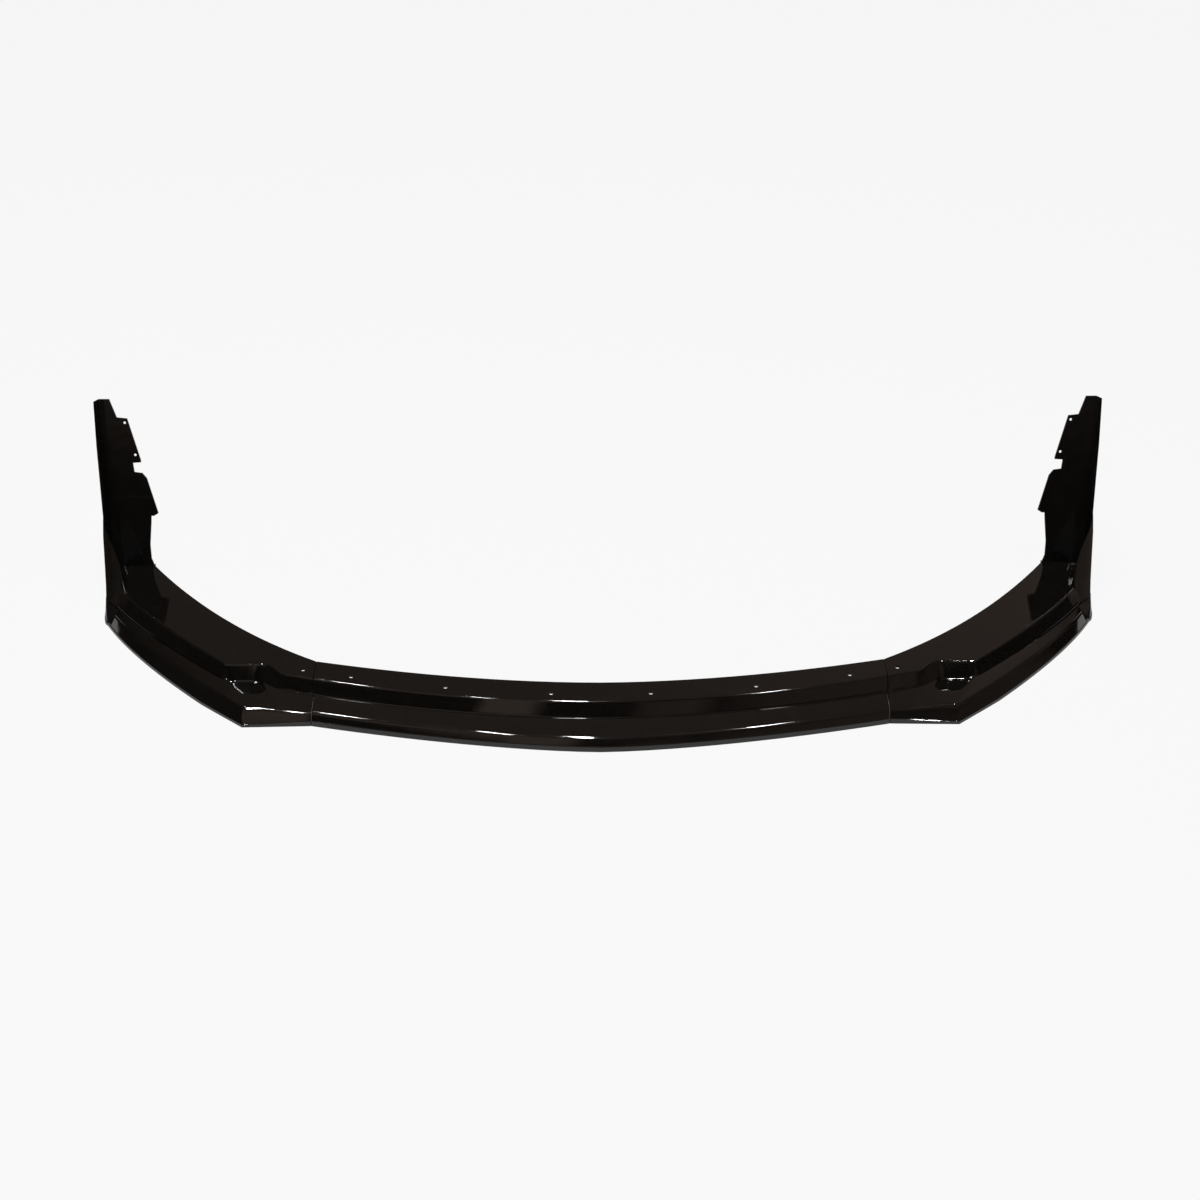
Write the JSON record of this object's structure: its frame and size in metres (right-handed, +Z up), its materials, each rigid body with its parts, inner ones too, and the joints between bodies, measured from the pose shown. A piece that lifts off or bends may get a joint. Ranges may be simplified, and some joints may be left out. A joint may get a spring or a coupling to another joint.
{
  "type": "front splitter lip",
  "caption": "Wide front splitter lip with a swept blade, a bumper ledge and an upright wheel arch flange at each end.",
  "frame": {"origin": "middle of the width and of the depth, on the ground line of the lower rim", "axes": "+X across the car, +Y towards the rear of the car, +Z up"},
  "size_m": [1.843, 0.6382, 0.3684],
  "materials": {
    "gloss_black": "high gloss",
    "zinc_steel": "zinc plated"
  },
  "bodies": {
    "root": {"centre_section": "gloss_black", "left_section": "gloss_black", "right_section": "gloss_black", "joint_bolts": "zinc_steel", "joint_nuts": "zinc_steel"}
  },
  "joints": []
}
